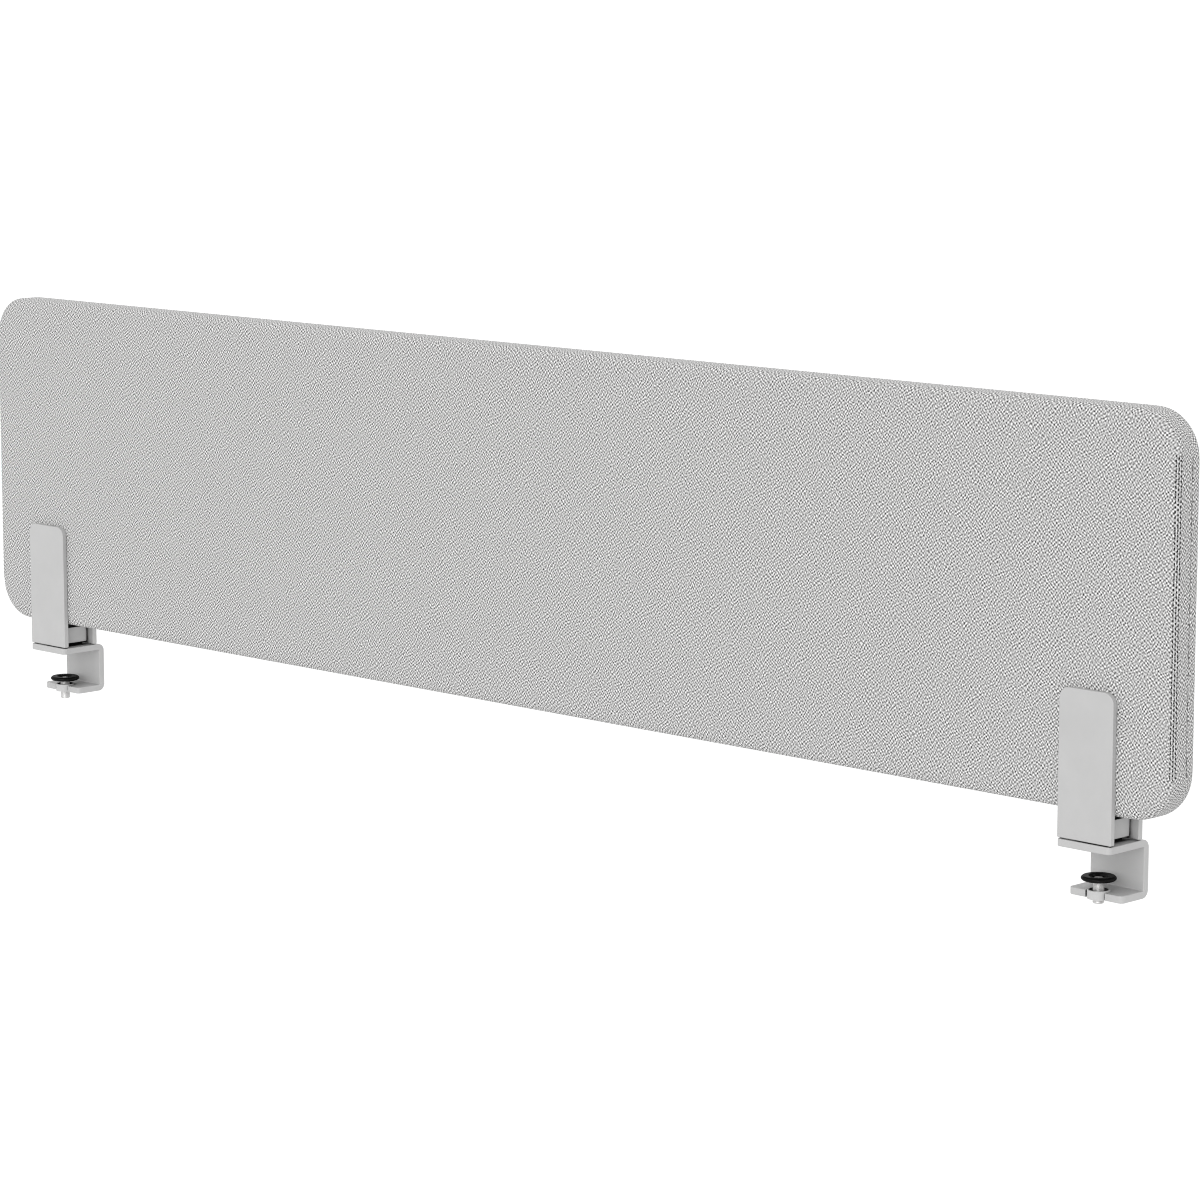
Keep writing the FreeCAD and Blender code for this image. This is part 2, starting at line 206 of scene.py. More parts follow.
def softened(profile, radius, steps=4):
    """The (radius, z) profile with each inner corner turned by a small arc."""
    out = [profile[0]]
    for before, corner, after in zip(profile, profile[1:], profile[2:]):
        back = np.subtract(before, corner)
        ahead = np.subtract(after, corner)
        reach = min(radius, np.linalg.norm(back) / 2.2, np.linalg.norm(ahead) / 2.2)
        start = corner + back / np.linalg.norm(back) * reach
        end = corner + ahead / np.linalg.norm(ahead) * reach
        for i in range(steps + 1):
            t = i / steps
            point = start * (1 - t) ** 2 + 2 * np.array(corner) * t * (1 - t) + end * t**2
            out.append(tuple(point))
    out.append(profile[-1])
    return out


def ring_stack(name, rings, material, body, closed):
    """Rings of points skinned into a tube. closed joins the last ring to the first; otherwise
    both ends are capped by a fan to the ring's middle."""
    count = len(rings[0])
    points = np.concatenate(rings)
    if closed:
        quads = skin_faces(len(rings) + 1, count)
        faces = [tuple(p % len(points) for p in quad) for quad in quads]
        return make_object(name, points, faces, material, body)
    faces = skin_faces(len(rings), count)
    first_middle = len(points)
    points = np.concatenate([points, [rings[0].mean(0)], [rings[-1].mean(0)]])
    last = (len(rings) - 1) * count
    for j in range(count):
        following = (j + 1) % count
        faces.append((following, j, first_middle))
        faces.append((last + j, last + following, first_middle + 1))
    return make_object(name, points, faces, material, body)


# Material helpers


class Graph:
    """A material's nodes, added and joined in one call each."""

    def __init__(self, name):
        self.material = bpy.data.materials.new(name)
        self.material.use_nodes = True
        self.nodes = self.material.node_tree.nodes
        self.links = self.material.node_tree.links
        self.shader = self.nodes["Principled BSDF"]

    def set(self, node, sockets):
        for name, value in sockets.items():
            if isinstance(value, bpy.types.NodeSocket):
                self.links.new(value, node.inputs[name])
            else:
                node.inputs[name].default_value = value

    def add(self, kind, sockets, **properties):
        node = self.nodes.new("ShaderNode" + kind)
        for name, value in properties.items():
            setattr(node, name, value)
        self.set(node, sockets)
        return node

    def math(self, operation, a, b=0.0):
        return self.add("Math", {0: a, 1: b}, operation=operation).outputs[0]

    def object_place(self):
        return self.add("TexCoord", {}).outputs["Object"]

    def noise(self, place, scale, detail=2.0, roughness=0.5, dimensions="3D"):
        sockets = {"Vector": place, "Scale": scale, "Detail": detail, "Roughness": roughness}
        return self.add("TexNoise", sockets, noise_dimensions=dimensions).outputs["Fac"]

    def span(self, value, low, high, to_low, to_high):
        sockets = {0: value, 1: low, 2: high, 3: to_low, 4: to_high}
        return self.add("MapRange", sockets).outputs[0]

    def ramp(self, value, stops):
        """Colours between (position, (r, g, b)) stops."""
        node = self.add("ValToRGB", {0: value})
        elements = node.color_ramp.elements
        while len(elements) < len(stops):
            elements.new(0.5)
        for element, (position, colour) in zip(elements, stops):
            element.position = position
            element.color = (*colour, 1)
        return node.outputs["Color"]

    def mix(self, share, a, b, blend="MIX"):
        node = self.add("Mix", {}, data_type="RGBA", blend_type=blend)
        for socket, value in ((0, share), (6, a), (7, b)):
            if isinstance(value, bpy.types.NodeSocket):
                self.links.new(value, node.inputs[socket])
            else:
                node.inputs[socket].default_value = value
        return node.outputs[2]

    def bump(self, height, strength, distance):
        sockets = {"Height": height, "Strength": strength, "Distance": distance}
        self.set(self.shader, {"Normal": self.add("Bump", sockets).outputs[0]})


def grey(level, warmth=0.0):
    return (level * (1 + warmth), level, level * (1 - warmth))


def crepe_fabric():
    """Light grey crepe: short yarn floats on both diagonals over pits, their colour the yarn's
    tone with painted shade in the pits, with fine fibres, and painted shade at the needle holes
    along the stitch rows and in a broken dark line at the closing fold."""
    g = Graph("crepe_fabric")
    place = g.add("UVMap", {}, uv_map="weave").outputs["UV"]
    floats = None
    for angle in (math.radians(45), math.radians(-45)):
        sockets = {
            "Vector": place,
            "Scale": WEAVE_CELLS_PER_METRE,
            "Frequency": WEAVE_WAVES_PER_CELL,
            "Anisotropy": 0.8,
            "Orientation": angle,
        }
        dashes = g.add("TexGabor", sockets, gabor_type="2D")
        wave = g.math("SUBTRACT", dashes.outputs["Value"], 0.5)
        strength = g.math("MAXIMUM", dashes.outputs["Intensity"], 0.02)
        wave = g.math("DIVIDE", wave, g.math("POWER", strength, WEAVE_EVENNESS))
        floats = wave if floats is None else g.math("ADD", floats, wave)
    fibres = g.noise(place, 2600.0, 2.0, 0.6, "2D")
    level = g.math("ADD", floats, g.span(fibres, 0.2, 0.8, -0.1, 0.1))
    shade = g.span(level, -WEAVE_SPAN, WEAVE_SPAN, 0.0, 1.0)
    # Pits go near black and crests light: the yarn's own tone, with painted shade in the pits
    stops = [(0.0, 0.02), (0.27, 0.19), (0.5, 0.335), (0.73, 0.485), (1.0, 0.80)]
    colour = g.ramp(shade, [(at, grey(level, 0.004)) for at, level in stops])
    # Near black where the seams' painted shade lies
    colour = g.mix(seam_shadow(g, place), colour, (*grey(0.008), 1))
    g.set(g.shader, {"Base Color": colour, "Roughness": 0.95, "Specular IOR Level": 0.15})
    g.set(g.shader, {"Sheen Weight": 0.1, "Sheen Roughness": 0.4})
    g.bump(shade, 0.3, 0.6 * MM)
    return g.material


def stitch_range():
    """The heights between which the ends are stitched."""
    low = PANEL_LOW.z + PANEL_CORNER - STITCHES_BELOW
    high = PANEL_HIGH.z - PANEL_CORNER + STITCHES_ABOVE
    return low, high


def groove_places():
    """Where the cover is pulled in beside and between the stitch rows."""
    first, second = STITCH_ROWS
    return first - GROOVE_OFFSET, (first + second) / 2, second + GROOVE_OFFSET


def seam_shadow(g, place):
    """How much painted shade darkens the needle holes, the grooves beside the stitch rows and the
    closing fold, on the panel's ends."""
    split = g.add("SeparateXYZ", {"Vector": place})
    half_width = PANEL_HIGH.x - OUTLINE_INSET
    along = g.math("SUBTRACT", g.math("ABSOLUTE", split.outputs["X"]), half_width - EDGE_ROUND)
    height = split.outputs["Y"]
    uneven = g.span(g.noise(place, 260.0, 2.0, 0.6, "2D"), 0.35, 0.65, 0.1, 0.6)
    shadow = None
    for row, groove_at in enumerate(groove_places()):
        lowest = PANEL_LOW.z + PANEL_CORNER + 0.5 * row * STITCH_PITCH
        pitches = g.math("DIVIDE", g.math("SUBTRACT", height, lowest), STITCH_PITCH)
        off_hole = g.math("MULTIPLY", g.math("PINGPONG", pitches, 0.5), STITCH_PITCH)
        off_groove = g.math("ABSOLUTE", g.math("SUBTRACT", along, groove_at))
        up = g.math("DIVIDE", off_hole, HOLE_HALF_HEIGHT)
        across = g.math("DIVIDE", off_groove, HOLE_HALF_WIDTH)
        squares = g.math("ADD", g.math("MULTIPLY", up, up), g.math("MULTIPLY", across, across))
        # Needle holes, and grooves beside the rows, get painted shade
        hole = g.span(squares, 1.3, 0.6, 0.0, 1.0)
        groove = g.span(off_groove, GROOVE_HALF_WIDTH, 0.3 * GROOVE_HALF_WIDTH, 0.0, 1.0)
        row_shade = g.math("MAXIMUM", hole, g.math("MULTIPLY", groove, uneven))
        shadow = row_shade if shadow is None else g.math("MAXIMUM", shadow, row_shade)
    # A broken line of painted shade at the closing fold, and a little painted shade on the cover
    # as it is drawn in before it
    before_fold = g.math("SUBTRACT", CLOSURE_AT, along)
    broken = g.span(g.noise(place, 330.0, 1.0, 0.5, "2D"), 0.44, 0.56, 0.1, 0.95)
    line = g.span(before_fold, FOLD_WIDTH + FOLD_BLUR, FOLD_WIDTH, 0.0, 1.0)
    drawn_in_shade = g.span(before_fold, CLOSURE_SHADE_REACH, 0.0, 0.0, CLOSURE_SHADE)
    fold = g.math("MAXIMUM", g.math("MULTIPLY", line, broken), drawn_in_shade)
    fold = g.math("MULTIPLY", fold, g.math("GREATER_THAN", before_fold, 0.0))
    shadow = g.math("MAXIMUM", shadow, fold)
    low, high = stitch_range()
    above = g.span(height, low - MM, low, 0.0, 1.0)
    below = g.span(height, high, high + MM, 1.0, 0.0)
    return g.math("MULTIPLY", shadow, g.math("MULTIPLY", above, below))


def thread_material():
    """Twisted sewing thread, a little lighter than the cover."""
    g = Graph("sewing_thread")
    sockets = {"Vector": g.object_place(), "Scale": 700.0, "Distortion": 1.0}
    twist = g.add("TexWave", sockets, bands_direction="DIAGONAL")
    colour = g.ramp(twist.outputs["Fac"], [(0.0, grey(0.40)), (1.0, grey(0.70))])
    g.set(g.shader, {"Base Color": colour, "Roughness": 0.7, "Sheen Weight": 0.2})
    g.bump(twist.outputs["Fac"], 0.3, 0.1 * MM)
    return g.material


def painted_metal(name, level, warmth=0.0):
    """Fine-textured powder coat: orange peel, faint mottling, edges lighter, partly from wear and
    partly as a painted highlight, and narrow gaps painted dark as shade."""
    g = Graph(name)
    place = g.object_place()
    peel = g.noise(place, 900.0, 3.0, 0.55)
    mottle = g.noise(place, 35.0, 3.0, 0.6)
    base = g.ramp(mottle, [(0.3, grey(level * 0.97, warmth)), (0.7, grey(level * 1.03, warmth))])
    # Edges are painted lighter: partly wear, partly a painted highlight on their rounding
    rounded = g.add("Bevel", {"Radius": 0.9 * MM}, samples=4).outputs[0]
    flat = g.add("NewGeometry", {}).outputs["Normal"]
    facing = g.add("VectorMath", {0: rounded, 1: flat}, operation="DOT_PRODUCT").outputs["Value"]
    patchy_edges = g.span(mottle, 0.35, 0.6, 0.2, 1.0)
    edge_wear_and_highlight = g.math("MULTIPLY", g.span(facing, 0.97, 0.80, 0.0, 0.5), patchy_edges)
    colour = g.mix(edge_wear_and_highlight, base, (*grey(min(level * 1.35, 0.85), warmth), 1))
    # Narrow gaps and corners are painted near black: painted shade, from how little of the
    # surroundings they see
    openness = g.add("AmbientOcclusion", {"Distance": CREVICE_REACH}, samples=16).outputs["AO"]
    gap_shade = g.span(openness, 0.5, 0.2, 0.0, 1.0)
    colour = g.mix(gap_shade, colour, (*grey(0.02), 1))
    g.set(g.shader, {"Base Color": colour, "Roughness": g.span(peel, 0.3, 0.7, 0.40, 0.56)})
    g.bump(peel, 0.12, 0.15 * MM)
    return g.material


def turned_steel(name, level, roughness):
    """Bright zinc-plated steel with fine turning lines and a light haze."""
    g = Graph(name)
    place = g.object_place()
    stretched = g.add("Mapping", {"Vector": place, "Scale": (0.25, 0.25, 4.0)}).outputs[0]
    turning = g.noise(stretched, 600.0, 2.0, 0.5)
    haze = g.noise(place, 160.0, 4.0, 0.6)
    colour = g.ramp(haze, [(0.25, grey(level * 0.8, 0.01)), (0.75, grey(level * 1.08, 0.005))])
    hazy = g.span(haze, 0.3, 0.7, roughness - 0.05, roughness + 0.07)
    rough = g.math("ADD", g.span(turning, 0.3, 0.7, -0.05, 0.05), hazy)
    g.set(g.shader, {"Base Color": colour, "Roughness": rough, "Metallic": 1.0})
    g.bump(turning, 0.12, 0.05 * MM)
    return g.material


def black_polymer(name, level, roughness, grain, specular, coat=0.0):
    """Moulded black plastic or rubber with a fine grain and dusty variation."""
    g = Graph(name)
    place = g.object_place()
    pores = g.noise(place, grain, 3.0, 0.6)
    dust = g.noise(place, 120.0, 4.0, 0.65)
    colour = g.ramp(dust, [(0.35, grey(level)), (0.8, grey(level * 2.2))])
    g.set(g.shader, {"Base Color": colour, "Specular IOR Level": specular})
    g.set(g.shader, {"Coat Weight": coat, "Coat Roughness": 0.03})
    g.set(g.shader, {"Roughness": g.span(dust, 0.3, 0.75, roughness - 0.04, roughness + 0.10)})
    g.bump(pores, 0.15, 0.05 * MM)
    return g.material


def board_material():
    """Pressed wood chips."""
    g = Graph("chipboard")
    place = g.object_place()
    sockets = {"Vector": place, "Scale": 320.0, "Randomness": 1.0}
    chips = g.add("TexVoronoi", sockets).outputs["Distance"]
    colour = g.ramp(chips, [(0.1, (0.50, 0.34, 0.19)), (0.8, (0.24, 0.15, 0.08))])
    g.set(g.shader, {"Base Color": colour, "Roughness": g.span(chips, 0, 1, 0.75, 0.9)})
    g.bump(chips, 0.4, 0.4 * MM)
    return g.material


def tape_material():
    """Woven closing tape with fine ribs across it."""
    g = Graph("woven_tape")
    sockets = {"Vector": g.object_place(), "Scale": 450.0, "Distortion": 0.4}
    ribs = g.add("TexWave", sockets, bands_direction="Z").outputs["Fac"]
    colour = g.ramp(ribs, [(0.0, grey(0.32)), (1.0, grey(0.6))])
    g.set(g.shader, {"Base Color": colour, "Roughness": g.span(ribs, 0, 1, 0.7, 0.9)})
    g.bump(ribs, 0.5, 0.2 * MM)
    return g.material


# Panel cover: two face grids joined by rings round the edge


class Slab:
    """The panel's outline and section. A face is a grid whose corner squares are mapped to
    quarter discs, and every ring round the edge has one point for each point of its border."""

    def __init__(self, half_width, half_height, half_depth, centre_z, corner):
        self.half_width = half_width
        self.half_height = half_height
        self.half_depth = half_depth
        self.centre_z = centre_z
        self.corner = corner
        self.columns = round(2 * half_width / FACE_CELL)
        self.rows = round(2 * half_height / FACE_CELL)
        self.border = self.border_points()

    def border_points(self):
        """(column, row) of the grid's border, once round, starting at the lower left."""
        low = [(i, 0) for i in range(self.columns)]
        right = [(self.columns, j) for j in range(self.rows)]
        high = [(i, self.rows) for i in range(self.columns, 0, -1)]
        left = [(0, j) for j in range(self.rows, 0, -1)]
        return low + right + high + left

    def grid(self):
        """Flat (x, z) places of the grid, and the outward normals that its border points have."""
        inner = self.corner - EDGE_ROUND
        a = self.half_width - EDGE_ROUND
        b = self.half_height - EDGE_ROUND
        x = np.linspace(-a, a, self.columns + 1)[:, None] + np.zeros(self.rows + 1)
        z = np.linspace(-b, b, self.rows + 1)[None, :] + np.zeros((self.columns + 1, 1))
        across = (np.abs(x) - (a - inner)) / inner
        up = (np.abs(z) - (b - inner)) / inner
        in_corner = (across > 0) & (up > 0)
        disc_x = across * np.sqrt(np.maximum(1 - up**2 / 2, 0))
        disc_z = up * np.sqrt(np.maximum(1 - across**2 / 2, 0))
        normal_x = np.where(in_corner, disc_x * np.sign(x), np.sign(x) * (across >= 1 - 1e-6))
        normal_z = np.where(in_corner, disc_z * np.sign(z), np.sign(z) * (up >= 1 - 1e-6))
        x = np.where(in_corner, np.sign(x) * (a - inner + inner * disc_x), x)
        z = np.where(in_corner, np.sign(z) * (b - inner + inner * disc_z), z)
        return x, z, normal_x, normal_z

    def section(self, along):
        """How far in from the outline, and where across the thickness, the section is after
        the length along from the front face's border. Its turns are quarter circles."""
        quarter = EDGE_ROUND * math.pi / 2
        flat = 2 * (self.half_depth - EDGE_ROUND)
        if along <= quarter:
            turn = along / EDGE_ROUND
            inset = EDGE_ROUND * (1 - math.sin(turn))
            return inset, -self.half_depth + EDGE_ROUND * (1 - math.cos(turn)), turn
        if along <= quarter + flat:
            return 0.0, -self.half_depth + EDGE_ROUND + along - quarter, math.pi / 2
        turn = (along - quarter - flat) / EDGE_ROUND
        inset = EDGE_ROUND * (1 - math.cos(turn))
        return inset, self.half_depth - EDGE_ROUND * (1 - math.sin(turn)), math.pi / 2 + turn

    def section_length(self):
        return EDGE_ROUND * math.pi + 2 * (self.half_depth - EDGE_ROUND)

    def build(self, stations, sink):
        """The cover's points, the front grid's numbering, and its border: point numbers, flat
        places and outward normals. stations are lengths round the section, where sink gives
        each border point's depth below the section."""
        x, z, normal_x, normal_z = self.grid()
        count = (self.columns + 1) * (self.rows + 1)
        index = np.arange(count).reshape(self.columns + 1, self.rows + 1)
        front_y = np.full(count, -self.half_depth)
        front = np.stack([x.ravel(), front_y, z.ravel() + self.centre_z], 1)
        back = front * np.array([1, -1, 1])
        border = [index[i, j] for i, j in self.border]
        base = front[border][:, [0, 2]]
        outward = np.stack([normal_x.ravel()[border], normal_z.ravel()[border]], 1)
        outward /= np.linalg.norm(outward, axis=1)[:, None]
        rings = []
        for along in stations:
            inset, y, turn = self.section(along)
            depth = sink(along, base)
            reach = EDGE_ROUND - inset - depth * math.sin(turn)
            flat = base + outward * reach[:, None]
            rings.append(np.stack([flat[:, 0], y + depth * math.cos(turn), flat[:, 1]], 1))
        points = np.concatenate([front, back, *rings])
        return points, index, border, base, outward


def cover_faces(slab, index, border, station_count):
    """Faces of both grids and the rings between them, facing outwards. The back grid's points
    follow the front's, and the rings follow both."""
    count = index.size
    faces = []
    for i in range(slab.columns):
        for j in range(slab.rows):
            square = (index[i, j], index[i + 1, j], index[i + 1, j + 1], index[i, j + 1])
            faces.append(tuple(int(p) for p in square))
            faces.append(tuple(int(p) + count for p in reversed(square)))
    size = len(border)
    loops = [list(border)]
    for k in range(station_count):
        loops.append([2 * count + k * size + j for j in range(size)])
    loops.append([p + count for p in border])
    for near, far in zip(loops, loops[1:]):
        for j in range(size):
            following = (j + 1) % size
            faces.append((int(near[following]), int(near[j]), int(far[j]), int(far[following])))
    return faces


def panel_slab(outline_inset, face_inset):
    width = PANEL_HIGH.x - PANEL_LOW.x
    depth = PANEL_HIGH.y - PANEL_LOW.y
    height = PANEL_HIGH.z - PANEL_LOW.z
    return Slab(
        width / 2 - outline_inset,
        height / 2 - outline_inset,
        depth / 2 - face_inset,
        (PANEL_HIGH.z + PANEL_LOW.z) / 2,
        PANEL_CORNER - outline_inset,
    )


def held_by_support(points):
    """True for points under a fork plate, or on a rest pad."""
    held = np.zeros(len(points), bool)
    for side in SIDES:
        low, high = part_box(side + "_front_plate")
        beside = (points[:, 0] > low.x - PINNED_MARGIN) & (points[:, 0] < high.x + PINNED_MARGIN)
        on_face = np.abs(points[:, 1]) > PANEL_HIGH.y - EDGE_ROUND / 2
        held |= beside & on_face & (points[:, 2] < high.z + PINNED_MARGIN)
        low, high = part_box(side + "_rest_pad")
        over = (points[:, 0] > low.x - PINNED_MARGIN) & (points[:, 0] < high.x + PINNED_MARGIN)
        held |= over & (points[:, 2] < PANEL_LOW.z + EDGE_ROUND / 2)
    return held


def swell(points, faces, held):
    """How each point moves when the cloth is under a light pressure and held where the supports
    press."""
    mesh = bpy.data.meshes.new("swelling")
    mesh.from_pydata([tuple(p) for p in points], [], faces)
    piece = bpy.data.objects.new("swelling", mesh)
    bpy.context.scene.collection.objects.link(piece)
    group = piece.vertex_groups.new(name="held")
    group.add([int(i) for i in np.flatnonzero(held)], 1.0, "REPLACE")
    cloth = piece.modifiers.new("cloth", "CLOTH")
    cloth.settings.use_pressure = True
    cloth.settings.uniform_pressure_force = SWELL_PRESSURE
    cloth.settings.effector_weights.gravity = 0.0
    cloth.settings.vertex_group_mass = "held"
    cloth.settings.quality = SWELL_QUALITY
    scene = bpy.context.scene
    for step in range(1, SWELL_STEPS + 1):
        scene.frame_set(step)
    shaped = piece.evaluated_get(bpy.context.evaluated_depsgraph_get())
    moved = np.zeros(len(points) * 3, np.float32)
    shaped.data.vertices.foreach_get("co", moved)
    scene.frame_set(1)
    bpy.data.objects.remove(piece)
    return moved.reshape(-1, 3) - points


def outward_only(points, moves):
    """The moves without the parts that draw a point towards the panel's middle planes."""
    from_middle = points - np.array([0, 0, (PANEL_LOW.z + PANEL_HIGH.z) / 2])
    return np.where(moves * from_middle < 0, 0, moves)


def capped(moves, cap):
    """The moves shortened smoothly so that none is longer than cap."""
    length = np.linalg.norm(moves, axis=1)
    return moves * (cap * np.tanh(length / cap) / np.maximum(length, 1e-9))[:, None]


def press_on_supports(points):
    """Lay the cover against the fork plates and the rest pads that hold it."""
    held = held_by_support(points)
    beside = held & (np.abs(points[:, 1]) > PANEL_HIGH.y - PRESSED_REACH)
    points[beside, 1] = np.sign(points[beside, 1]) * (PANEL_HIGH.y - PINNED_SINK)
    over = held & (points[:, 2] < PANEL_LOW.z + PRESSED_REACH)
    points[over, 2] = PANEL_LOW.z + PINNED_SINK


def seam_strength(base):
    """1 beside the straight part of the panel's ends, fading to 0 at its rounded corners."""
    straight_low = PANEL_LOW.z + PANEL_CORNER
    straight_high = PANEL_HIGH.z - PANEL_CORNER
    at_end = np.abs(base[:, 0]) > PANEL_HIGH.x - 2 * EDGE_ROUND
    rising = smoothstep((base[:, 1] - straight_low) / SEAM_FADE)
    falling = smoothstep((straight_high - base[:, 1]) / SEAM_FADE)
    return at_end * rising * falling


def seam_sink(along, base):
    """How deep the cover is drawn in: at each stitch row and at the closing fold."""
    depth = 0.0
    for row in STITCH_ROWS:
        depth += STITCH_DIMPLE * max(0.0, 1 - abs(along - row) / STITCH_DIMPLE_REACH)
    depth += CLOSURE_DEPTH * max(0.0, 1 - abs(along - CLOSURE_AT) / CLOSURE_REACH)
    return depth * seam_strength(base)


def no_sink(along, base):
    return np.zeros(len(base))


def even_stations(slab, steps):
    return [slab.section_length() * k / steps for k in range(1, steps)]


def fine_stations(slab):
    """Even stations round the section, with three more across each seam."""
    seams = [(row, STITCH_DIMPLE_REACH) for row in STITCH_ROWS] + [(CLOSURE_AT, CLOSURE_REACH)]
    even = even_stations(slab, SHAPE_STATIONS)
    kept = [s for s in even if all(abs(s - at) > 1.6 * reach for at, reach in seams)]
    for at, reach in seams:
        kept += [at - reach, at, at + reach]
    return sorted(kept)


def add_weave_map(mesh, slab, index, border, base, outward, stations):
    """A map of the cloth's own flat places. The front sheet runs round to the closing fold and
    the back sheet starts there, so each lies unbroken over its face and edge."""
    count = index.size
    size = len(border)
    total = slab.section_length()
    points = np.zeros(len(mesh.vertices) * 3, np.float32)
    mesh.vertices.foreach_get("co", points)
    points = points.reshape(-1, 3)
    flat = points[:count][:, [0, 2]]
    back_shift = np.array(BACK_WEAVE_SHIFT)
    front_place = {}
    back_place = {}
    for p in range(count):
        front_place[p] = flat[p]
        back_place[p + count] = flat[p] + back_shift
    for k, along in enumerate(stations):
        for j in range(size):
            p = 2 * count + k * size + j
            front_place[p] = base[j] + outward[j] * along
            back_place[p] = base[j] + outward[j] * (total - along) + back_shift
    layer = mesh.uv_layers.new(name="weave")
    split = 2 * count + size * stations.index(CLOSURE_AT)
    for polygon in mesh.polygons:
        corners = list(polygon.vertices)
        on_back_face = any(count <= p < 2 * count for p in corners)
        past_fold = min(corners) >= split
        places = back_place if on_back_face or past_fold else front_place
        for loop, p in zip(polygon.loop_indices, corners):
            layer.data[loop].uv = places[p]


def make_cover():
    slab = panel_slab(OUTLINE_INSET, FACE_INSET)
    stations = fine_stations(slab)
    points, index, border, base, outward = slab.build(stations, seam_sink)
    count = index.size
    size = len(border)
    coarse = even_stations(slab, SWELL_STATIONS)
    start, *_ = slab.build(coarse, no_sink)
    faces = cover_faces(slab, index, border, len(coarse))
    held = held_by_support(start)
    moves = capped(outward_only(start, swell(start, faces, held)), SWELL_CAP)
    points[: 2 * count] += moves[: 2 * count]
    ring_moves = moves[2 * count :].reshape(len(coarse), size, 3)
    loops = np.concatenate([moves[border][None], ring_moves, moves[count:][border][None]])
    along = np.array([0.0, *coarse, slab.section_length()])
    for k, station in enumerate(stations):
        after = min(int(np.searchsorted(along, station)), len(along) - 1)
        share = (station - along[after - 1]) / (along[after] - along[after - 1])
        move = loops[after - 1] * (1 - share) + loops[after] * share
        points[2 * count + k * size : 2 * count + (k + 1) * size] += move
    press_on_supports(points)
    faces = cover_faces(slab, index, border, len(stations))
    cover = make_object("upholstered_panel", points, faces, crepe_fabric())
    add_weave_map(cover.data, slab, index, border, base, outward, stations)
    smooth = cover.modifiers.new("smooth", "SUBSURF")
    smooth.levels = 1
    smooth.render_levels = 1
    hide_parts("fabric_cover", "front_padding", "back_padding", "edge_wadding")
    return cover


# Stitching


def stitch_points(middle, up, outward, length):
    """Rings of a short bar of thread, bowed outwards."""
    across = np.cross(up, outward)
    rings = []
    for t in (-1.0, -0.8, -0.35, 0.35, 0.8, 1.0):
        radius = THREAD_RADIUS * math.sqrt(max(1 - t**4, 0.02))
        centre = middle + up * (t * length / 2) + outward * (THREAD_RADIUS * (0.9 - 1.3 * t * t))
        angles = np.arange(THREAD_SIDES)[:, None] * 2 * math.pi / THREAD_SIDES
        rings.append(centre + radius * (np.cos(angles) * across + np.sin(angles) * outward))
    return rings


def make_stitching(side):
    """The two rows of stitches down one end of the panel."""
    slab = panel_slab(0, 0)
    sign = -1 if side == "left" else 1
    low, high = stitch_range()
    stitches = int((high - low) / STITCH_PITCH)
    points = []
    faces = []
    for row, along in enumerate(STITCH_ROWS):
        inset, y, turn = slab.section(along)
        outward = np.array([sign * math.sin(turn), -math.cos(turn), 0])
        place = np.array([sign * (slab.half_width - inset), y, 0]) - outward * STITCH_DIMPLE
        for i in range(stitches):
            z = PANEL_LOW.z + PANEL_CORNER + (i + 0.5 * row) * STITCH_PITCH
            past = max(0.0, z - (PANEL_HIGH.z - PANEL_CORNER))
            rounding = PANEL_CORNER - math.sqrt(PANEL_CORNER**2 - past**2)
            slant = np.array([0, STITCH_SLANT * math.sin(1.7 * i + row), 1.0])
            up = slant / np.linalg.norm(slant)
            middle = place + np.array([-sign * rounding, 0, z])
            rings = stitch_points(middle, up, outward, STITCH_LENGTH)
            first = len(points)
            points += [p for ring in rings for p in ring]
            faces += skin_faces(len(rings), THREAD_SIDES, first)
            faces.append(tuple(first + j for j in reversed(range(THREAD_SIDES))))
            last = first + (len(rings) - 1) * THREAD_SIDES
            faces.append(tuple(last + j for j in range(THREAD_SIDES)))
    make_object(side + "_end_stitching", points, faces, THREAD)


# Clamp screw and pad


def lathe(name, profile, centre, material, body):
    """A closed (radius, z) profile turned about the upright axis through centre."""
    rings = [circle_ring(centre, radius, z) for radius, z in profile]
    return ring_stack(name, rings, material, body, closed=True)


def hexagon_ring(centre, across_flats, z):
    angles = np.arange(ROUND_SEGMENTS) * 2 * math.pi / ROUND_SEGMENTS
    from_flat = (angles + math.pi / 6) % (math.pi / 3) - math.pi / 6
    return circle_ring(centre, across_flats / 2 / np.cos(from_flat), z)


def thread_rings(centre, low, high):
    """Rings whose radius rises and falls with a helix, fading out at both ends. The groove is
    a V with a blunt bottom."""
    angles = np.arange(ROUND_SEGMENTS) / ROUND_SEGMENTS
    rings = []
    for k in range(round((high - low) / THREAD_PITCH * THREAD_STEPS) + 1):
        z = low + k * THREAD_PITCH / THREAD_STEPS
        phase = (z / THREAD_PITCH - angles) % 1
        groove = np.clip(1.15 - np.abs(phase - 0.5) * 2.6, 0, 1)
        fade = min(1.0, (z - low) / THREAD_PITCH, (high - z) / THREAD_PITCH)
        rings.append(circle_ring(centre, SCREW_RADIUS - THREAD_DEPTH * groove * max(fade, 0.0), z))
    return rings


